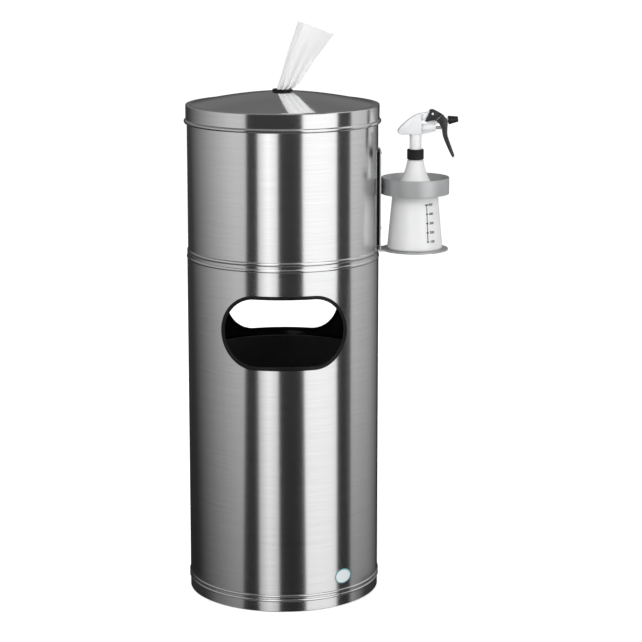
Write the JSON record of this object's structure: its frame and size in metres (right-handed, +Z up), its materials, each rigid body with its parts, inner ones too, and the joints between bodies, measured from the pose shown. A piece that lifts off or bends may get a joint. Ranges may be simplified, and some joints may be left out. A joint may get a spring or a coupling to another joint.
{
  "type": "disinfection station",
  "caption": "Round steel waste bin with letterbox openings under a wipe container with a domed lid and dispensing ring, and a side holder with a trigger spray bottle.",
  "frame": {"origin": "on the floor, on the axis of the bin, in the plane of the foot ring's underside", "axes": "+Z up; the front waste opening faces -Y; the bottle holder is on the +X side"},
  "size_m": [0.4973, 0.3576, 1.052],
  "materials": {
    "brushed_steel": "horizontally brushed stainless sheet",
    "satin_steel": "satin bracket steel",
    "zinc_steel": "bright zinc fasteners",
    "spring_steel": "drawn wire",
    "black_rubber": "matt rubber",
    "black_plastic": "fine satin moulding",
    "liner_plastic": "matt black moulding",
    "white_plastic": "smooth white moulding",
    "grey_plastic": "smooth grey moulding",
    "bottle_plastic": "translucent natural moulding",
    "clear_tube": "translucent tube",
    "badge_plastic": "plain domed badge",
    "wipe_fabric": "soft nonwoven"
  },
  "bodies": {
    "bin": {"body_shell": "brushed_steel", "base_pan": "brushed_steel", "foot_ring": "black_rubber", "front_trim": "black_rubber", "rear_trim": "black_rubber", "blank_badge": "badge_plastic"},
    "liner": {"inner_liner": "liner_plastic"},
    "container": {"container_shell": "brushed_steel", "container_floor": "brushed_steel", "wipes_roll": "wipe_fabric", "holder_pad": "black_rubber", "holder_bracket": "satin_steel", "holder_ring": "satin_steel", "ring_pads": "black_rubber", "ring_rivets": "zinc_steel", "holder_screws": "zinc_steel", "holder_nuts": "zinc_steel"},
    "lid": {"lid": "brushed_steel", "grommet": "black_rubber", "wipe_sheet": "wipe_fabric", "wipe_strand": "wipe_fabric"},
    "bottle": {"bottle": "bottle_plastic"},
    "sprayer": {"pump_body": "white_plastic", "sprayer_shroud": "white_plastic", "neck_gasket": "grey_plastic", "dip_tube": "clear_tube", "inlet_ball": "zinc_steel", "piston_spring": "spring_steel", "trigger_pin": "white_plastic", "swirl_plug": "white_plastic"},
    "collar": {"screw_collar": "black_plastic"},
    "trigger": {"trigger": "black_plastic"},
    "piston": {"piston": "grey_plastic"},
    "nozzle": {"nozzle": "black_plastic"}
  },
  "joints": [
    {"name": "liner_lift", "type": "slide", "parent": "bin", "child": "liner", "axis": [0, 0, 1], "range_m": [0, 0.12]},
    {"name": "container_lift", "type": "slide", "parent": "bin", "child": "container", "axis": [0, 0, 1], "range_m": [0, 0.06]},
    {"name": "lid_lift", "type": "slide", "parent": "container", "child": "lid", "axis": [0, 0, 1], "range_m": [0, 0.12]},
    {"name": "bottle_lift", "type": "slide", "parent": "container", "child": "bottle", "axis": [0, 0, 1], "range_m": [0, 0.14]},
    {"name": "sprayer_rise", "type": "slide", "parent": "bottle", "child": "sprayer", "axis": [0, 0, 1], "range_m": [0, 0.006]},
    {"name": "collar_turn", "type": "hinge", "parent": "sprayer", "child": "collar", "pos_m": [0.2413, 0, 0.81], "axis": [0, 0, 1], "range_deg": [0, 545]},
    {"name": "trigger_squeeze", "type": "hinge", "parent": "sprayer", "child": "trigger", "pos_m": [0.2713, 0, 0.884], "axis": [0, 1, 0], "range_deg": [0, 16], "stiffness_Nm_per_rad": 0.3, "springref_deg": -11.46},
    {"name": "piston_stroke", "type": "slide", "parent": "sprayer", "child": "piston", "axis": [-1, 0, 0], "range_m": [0, 0.0073], "deforming": ["piston_spring"]},
    {"name": "nozzle_turn", "type": "hinge", "parent": "sprayer", "child": "nozzle", "pos_m": [0.2613, 0, 0.8675], "axis": [0.9945, 0, 0.1045], "continuous": true}
  ],
  "couplings": [
    {"joint": "collar_turn", "follows": "sprayer_rise", "rad_per_m": 1570.8},
    {"joint": "piston_stroke", "follows": "trigger_squeeze", "m_per_rad": 0.026}
  ]
}
